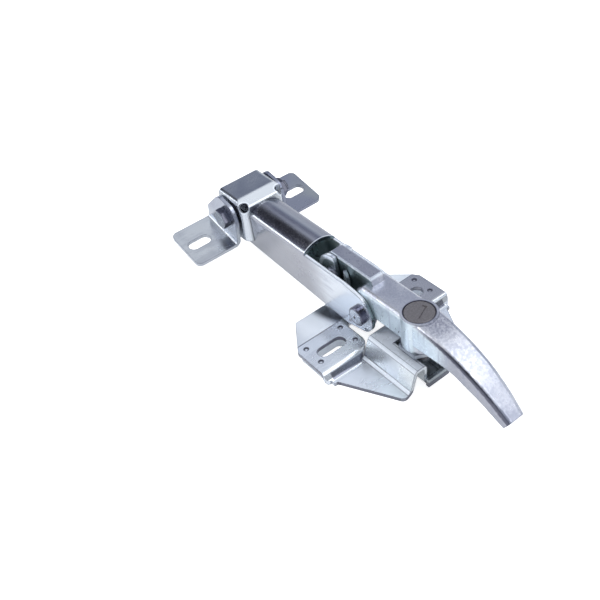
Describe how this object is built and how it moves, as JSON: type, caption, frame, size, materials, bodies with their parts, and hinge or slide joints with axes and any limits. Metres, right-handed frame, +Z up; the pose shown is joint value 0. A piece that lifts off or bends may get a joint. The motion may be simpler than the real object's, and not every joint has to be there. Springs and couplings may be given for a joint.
{
  "type": "hood latch",
  "caption": "Over-centre hood latch with a long curved lever handle, keyed lock, folded arm, slotted angle feet and a pressed base bracket, zinc plated.",
  "frame": {"origin": "midway between the two bolt slots of the base bracket, on the plane it is bolted to", "axes": "+Z up from the mounting plane, +X from the keeper towards the tip of the grip, +Y to the far side"},
  "size_m": [0.278, 0.112, 0.054],
  "materials": {
    "zinc_plated_steel": "bright zinc plate",
    "plated_casting": "satin zinc plate on a casting",
    "lock_metal": "satin"
  },
  "bodies": {
    "base": {"base_bracket": "zinc_plated_steel", "near_backing_plate": "zinc_plated_steel", "far_backing_plate": "zinc_plated_steel", "base_pivot_pin": "zinc_plated_steel"},
    "handle": {"handle": "plated_casting", "lock_barrel": "plated_casting", "lock_nut": "zinc_plated_steel"},
    "lock": {"lock_plug": "lock_metal", "lock_cam": "zinc_plated_steel", "cam_screw": "zinc_plated_steel"},
    "arm": {"arm_channel": "zinc_plated_steel", "hinge_cap": "zinc_plated_steel", "near_link_rivet": "zinc_plated_steel", "far_link_rivet": "zinc_plated_steel"},
    "keeper": {"near_keeper_foot": "zinc_plated_steel", "far_keeper_foot": "zinc_plated_steel", "hinge_bolt": "zinc_plated_steel", "hinge_nut": "zinc_plated_steel", "hinge_sleeve": "zinc_plated_steel", "near_hinge_washer": "zinc_plated_steel", "far_hinge_washer": "zinc_plated_steel"}
  },
  "joints": [
    {"name": "handle_pivot", "type": "hinge", "parent": "base", "child": "handle", "pos_m": [-0.0254, 0, 0.037], "axis": [0, -1, 0], "range_deg": [0, 105]},
    {"name": "link_pivot", "type": "hinge", "parent": "handle", "child": "arm", "pos_m": [0.0054, 0, 0.0262], "axis": [0, 1, 0], "range_deg": [0, 106]},
    {"name": "keeper_pivot", "type": "hinge", "parent": "arm", "child": "keeper", "pos_m": [-0.1305, 0, 0.0375], "axis": [0, 1, 0], "range_deg": [-75, 75]},
    {"name": "lock_turn", "type": "hinge", "parent": "handle", "child": "lock", "pos_m": [0.0455, 0, 0.0467], "axis": [0, 0, -1], "range_deg": [0, 90]}
  ],
  "couplings": [
    {"joint": "link_pivot", "follows": "handle_pivot", "ratio": 1}
  ]
}
